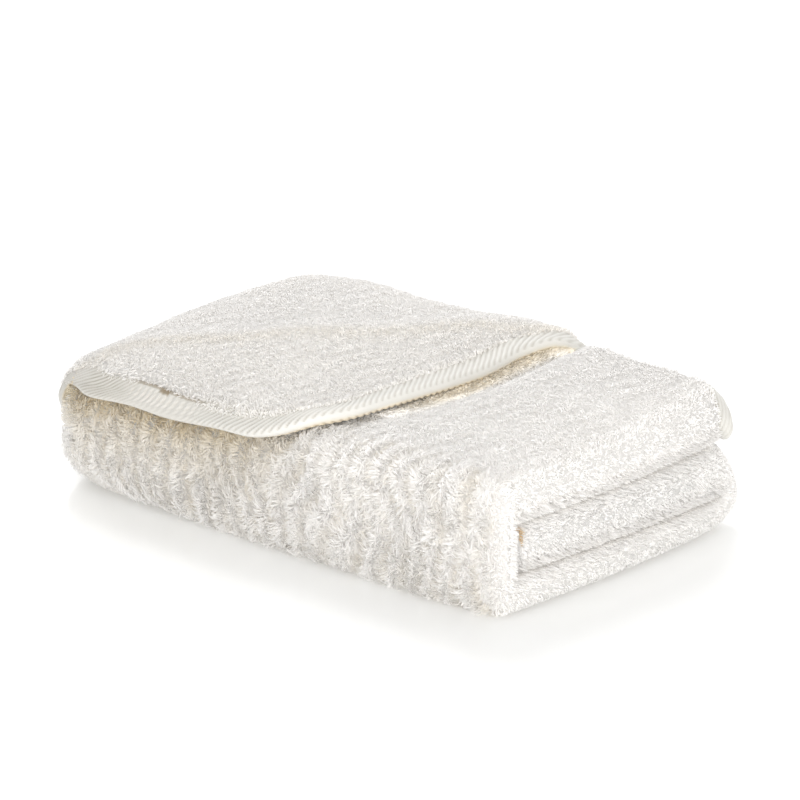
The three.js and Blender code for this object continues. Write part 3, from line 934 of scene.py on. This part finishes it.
# A small brown spot where the grooves of the right end begin: the pile is browner and darker there
brownSpot = dict(
    middle=(88, -46.6, 20.5),
    reach=(8, 1.5, 2.8),  # its radii
    depth=0.85,
    fade=(1.25, 0.6),  # it grows between these shares of its radii
)
endPile = pilePieces["pile_ends"]
endPoints = np.zeros(len(endPile.data.vertices) * 3, np.float32)
endPile.data.vertices.foreach_get("co", endPoints)
fromSpot = (endPoints.reshape(-1, 3) * metre - np.array(brownSpot["middle"])) / np.array(brownSpot["reach"])
attribute(endPile, "brownSpot", brownSpot["depth"] * smooth(*brownSpot["fade"], np.linalg.norm(fromSpot, axis=1)))
print("stain is on the right end")

offTheTape = (-99, -98)  # a stretch before the tape's start, for a tape that isn't crumpled


# The tape's outline across, as places inwards from the edge and off from the cloth's middle: upper
# face, round rim, lower face, and the slot that takes the cloth
def tapeSection(lip, inside):
    out, rimStart = tape["thick"] / 2, lip + tape["rim"]
    face = [(x, out) for x in np.linspace(tapeMouth, rimStart, tape["facePoints"])]
    quarter = np.linspace(0, math.pi / 2, tape["rimPoints"])[1:]
    rim = [(rimStart - tape["rim"] * math.sin(t), out * math.cos(t)) for t in quarter]
    upper = face + rim
    lower = [(x, -o) for x, o in upper[:-1]][::-1]
    slot = [(tapeMouth, -inside), (0, -inside), (0, inside), (tapeMouth, inside)]
    return np.array(upper + lower + slot).T


# Ribbed tape folded over an edge. places are u and v on the middle surface, close together, and side
# is 1 or -1 for the hand on which the cloth lies. Only the flap's tape has a crumpled stretch.
def tapeMesh(name, point, places, side, step, crumpled=None):
    places = np.asarray(places, float)
    along = np.concatenate([[0], np.cumsum(np.linalg.norm(np.diff(places, axis=0), axis=1))])
    n = int(along[-1] / step)
    d = np.linspace(0, along[-1], n)
    u, v = np.interp(d, along, places[:, 0]), np.interp(d, along, places[:, 1])
    du, dv = np.gradient(u), np.gradient(v)
    for again in range(6):  # evens out its direction
        du, dv = (np.convolve(np.pad(k, 2, mode="edge"), np.ones(5) / 5, "valid") for k in (du, dv))
    long = np.hypot(du, dv)
    inU, inV = -side * dv / long, side * du / long
    lip, inside = -(tape["wall"] + tape["gap"]), tape["thick"] / 2 - tape["wall"]
    inward, off = tapeSection(lip, inside)
    k = len(inward)
    onTop = off > 1
    crumpledStretch = crumpled or offTheTape

    ribbed = smooth(lip + 0.05, lip + 0.05 + tape["rimFade"], inward) * (np.abs(off) > inside)
    ribbed = ribbed[None] * (1 - tape["flattened"] * between(d, *crumpledStretch, 24))[:, None]
    phase = (d[:, None] + tape["ribSlant"] * inward[None]) / tape["rib"]
    crest = np.abs(np.sin(math.pi * phase)) ** tape["ribRound"]
    height = tape["ribHeight"] * (crest - tape["ribSink"]) * ribbed
    crumple = np.sin(2 * math.pi * d / tape["puckerPitch"] + 1.5 * np.sin(d / 4)) * between(d, *crumpledStretch, 12)
    beside = (inward - tape["puckerMiddle"]) / tape["puckerReach"]
    height += tape["pucker"] * crumple[:, None] * np.exp(-(beside**2)) * onTop

    placeU, placeV = u[:, None] + inward * inU[:, None], v[:, None] + inward * inV[:, None]
    verts = point(placeU, placeV, off + np.sign(off) * height)
    verts[[0, -1]] = verts[[0, -1]].mean(1, keepdims=True)  # closes both ends
    i, j = np.meshgrid(np.arange(n - 1), np.arange(k), indexing="ij")
    after = (j + 1) % k
    quads = np.stack([i * k + j, i * k + after, (i + 1) * k + after, (i + 1) * k + j], -1).reshape(-1, 4)
    piece = meshObject(name, verts.reshape(-1, 3), quads, twill)

    # Painted shade: its underside is warm along the flap, and the seam and its valleys are darker
    attribute(piece, "tone", np.tile(smooth(-1.6, -0.1, off) if crumpled else np.ones(k), n))
    # Painted shade in dashes and in a line along the seam
    shadeDashes = smooth(0.5, 1.3, np.sin(d / 2.9) + np.sin(d / 1.7))[:, None] * between(inward, 4.5, 7, 0.8)[None]
    line = tape["seamShade"] * between(inward, *tape["seam"], 0.6)[None]
    seam = np.maximum(shadeDashes, line) * between(d, *crumpledStretch, 10)[:, None] * onTop
    # Painted shade: the crumpled stretch and the tape before it are greyer
    shadedStretch = between(d, crumpledStretch[0] - tape["shadeBefore"], crumpledStretch[1], 20)
    stretchShade = tape["stretchShade"] * shadedStretch[:, None] * (off > -1)
    attribute(piece, "valley", np.maximum(tape["ribShade"] * ribbed * (1 - crest) + stretchShade, seam).ravel())
    print(name + ":", len(quads) * 2, "triangles")
    return piece


corner = cloth["flapCorner"]
alongNear, roundCorner, alongEnd = tape["edgePoints"]
flapEdge = []
for x in np.linspace(noseStart - tape["start"], cornerStart, alongNear):
    flapEdge.append((x, float(nearEdge(x))))
for t in np.linspace(0.02, math.pi / 2, roundCorner):
    flapEdge.append((cornerStart + corner * math.sin(t), cloth["hangEdge"] + corner * (1 - math.cos(t))))
for y in np.linspace(cloth["hangEdge"] + corner + 0.5, farTuck - 2, alongEnd):
    flapEdge.append((flapReach, y))
flapTape = tapeMesh("binding_flap_tape", flapPoint, flapEdge, 1, tape["step"], tape["crumpled"])
stripEdge = [(x, topEdge) for x in stations(sectionAt.marks, 1)]
topTape = tapeMesh("binding_top_tape", stripPoint, stripEdge, -1, 2 * tape["step"])

onCloth = list(pilePieces.values())
for piece in [ground, *onCloth]:
    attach(piece, "root")
    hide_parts("cloth")
for piece, name in ((flapTape, "binding_flap"), (topTape, "binding_top_end")):
    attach(piece, "root")
    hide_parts(name)

# The floor: smooth painted board, nearly white, with a faint gloss. Its own weak light stands for
# what a pale room throws back.
floorLook = dict(
    reach=6,  # metres from the middle
    colour="#EDEEEF",
    roughness=0.2,
    specular=0.3,
    glow="#FFFDF6",
    glowStrength=0.25,
)
floorMaterial, floorTree = newMaterial("floor")
board = node(floorTree, "ShaderNodeBsdfPrincipled", {
    "Base Color": linear(floorLook["colour"]),
    "Roughness": floorLook["roughness"],
    "Specular IOR Level": floorLook["specular"],
    "Emission Color": linear(floorLook["glow"]),
    "Emission Strength": floorLook["glowStrength"],
})
node(floorTree, "ShaderNodeOutputMaterial", {"Surface": board.outputs[0]})
floorShape = bmesh.new()
bmesh.ops.create_grid(floorShape, x_segments=1, y_segments=1, size=floorLook["reach"])
floorMesh = bpy.data.meshes.new("floor")
floorShape.to_mesh(floorMesh)
floorShape.free()
floorMesh.materials.append(floorMaterial)
floor = addObject("floor", floorMesh)
print("floor is laid")

# Soft light from all round, brighter from one side
studio = dict(
    colour="#FFFFFF",
    brightSide=(-0.05, 0.4, 0.65),
    fromTo=(-0.75, 0.76),  # how far along that side the light grows
    strengths=(0.14, 1.0),  # and from what to what
)
world = bpy.data.worlds.new("studio")
world.use_nodes = True
sky = world.node_tree
sky.nodes.clear()
firstVector, secondVector = 0, 1  # sockets of a Vector Math node
mapFromMin, mapFromMax, mapToMin, mapToMax = 1, 2, 3, 4  # and of a Map Range node
toSky = node(sky, "ShaderNodeTexCoord")
towards = node(sky, "ShaderNodeVectorMath", {
    firstVector: toSky.outputs["Generated"],
    secondVector: studio["brightSide"],
}, operation="DOT_PRODUCT")
strength = node(sky, "ShaderNodeMapRange", {
    "Value": towards.outputs["Value"],
    mapFromMin: studio["fromTo"][0],
    mapFromMax: studio["fromTo"][1],
    mapToMin: studio["strengths"][0],
    mapToMax: studio["strengths"][1],
})
glow = node(sky, "ShaderNodeBackground", {
    "Color": linear(studio["colour"]),
    "Strength": strength.outputs[0],
})
node(sky, "ShaderNodeOutputWorld", {"Surface": glow.outputs[0]})
bpy.context.scene.world = world

# Round lamps, in metres and watts. One with "shinesOn" lights only the pieces of that group.
lamps = {
    "back": dict(place=(-0.45, 0.5, 0.75), aim=(0, 0, 0.02), size=0.45, power=4.2),
    "front": dict(place=(0.4, -0.49, 0.1), aim=(0.05, 0, 0.02), size=0.32, power=3.0, shinesOn="fabric"),
    "right": dict(place=(0.6, -0.05, 0.06), aim=(0.08, 0, 0.02), size=0.5, power=0.95, shinesOn="fabric"),
    "gap": dict(place=(0.45, -0.45, 0.3), aim=(0.03, 0.03, 0.04), size=0.2, power=6, shinesOn="under_flap"),
    "ends": dict(place=(0.5, -0.42, 0.24), aim=(0.09, 0, 0.02), size=0.3, power=0.6, shinesOn="ends"),
    "left": dict(place=(-0.6, 0.2, 0.25), aim=(-0.1, -0.03, 0), size=0.3, power=1.3, shinesOn="table"),
}
litGroups = {
    "fabric": [ground, *onCloth, flapTape, topTape],
    "under_flap": [pilePieces["pile_under_flap"]],
    "ends": [endPile, topTape],
    "table": [floor],
}


def lampObject(name, place, aim, size, power, shinesOn=None):
    data = bpy.data.lights.new(name, "AREA")
    data.shape, data.size, data.energy = "DISK", size, power
    lamp = addObject(name, data)
    lamp.location = place
    lamp.rotation_euler = (Vector(aim) - Vector(place)).to_track_quat("-Z", "Y").to_euler()
    if shinesOn:
        lamp.light_linking.receiver_collection = bpy.data.collections[shinesOn]


for name, pieces in litGroups.items():
    group = bpy.data.collections.new(name)
    for piece in pieces:
        group.objects.link(piece)
for name, settings in lamps.items():
    lampObject(name, **settings)
print("lights are up:", len(lamps))

# The camera, with the photograph's angle of view
shot = dict(
    lens=134.2,
    sensor=36,
    azimuth=43.4,  # degrees round from the front
    elevation=16.7,
    distance=0.7949,  # metres
    target=(11.5, -5.52, 31.56),  # on the even stack, in millimetres
)
lens = bpy.data.cameras.new("camera")
lens.lens, lens.sensor_width = shot["lens"], shot["sensor"]
camera = addObject("camera", lens)
azimuth, elevation = math.radians(shot["azimuth"]), math.radians(shot["elevation"])
targetX, targetY, targetZ = shot["target"]
target = Vector((targetX - lie["middleX"], targetY - lie["middleY"], targetZ)) / metre
level = math.cos(elevation)
look = Vector((-math.sin(azimuth) * level, math.cos(azimuth) * level, -math.sin(elevation)))
camera.location = target - shot["distance"] * look
camera.rotation_euler = look.to_track_quat("-Z", "Y").to_euler()
bpy.context.scene.camera = camera
bpy.context.scene.view_settings.view_transform = "Standard"
print("camera is set")
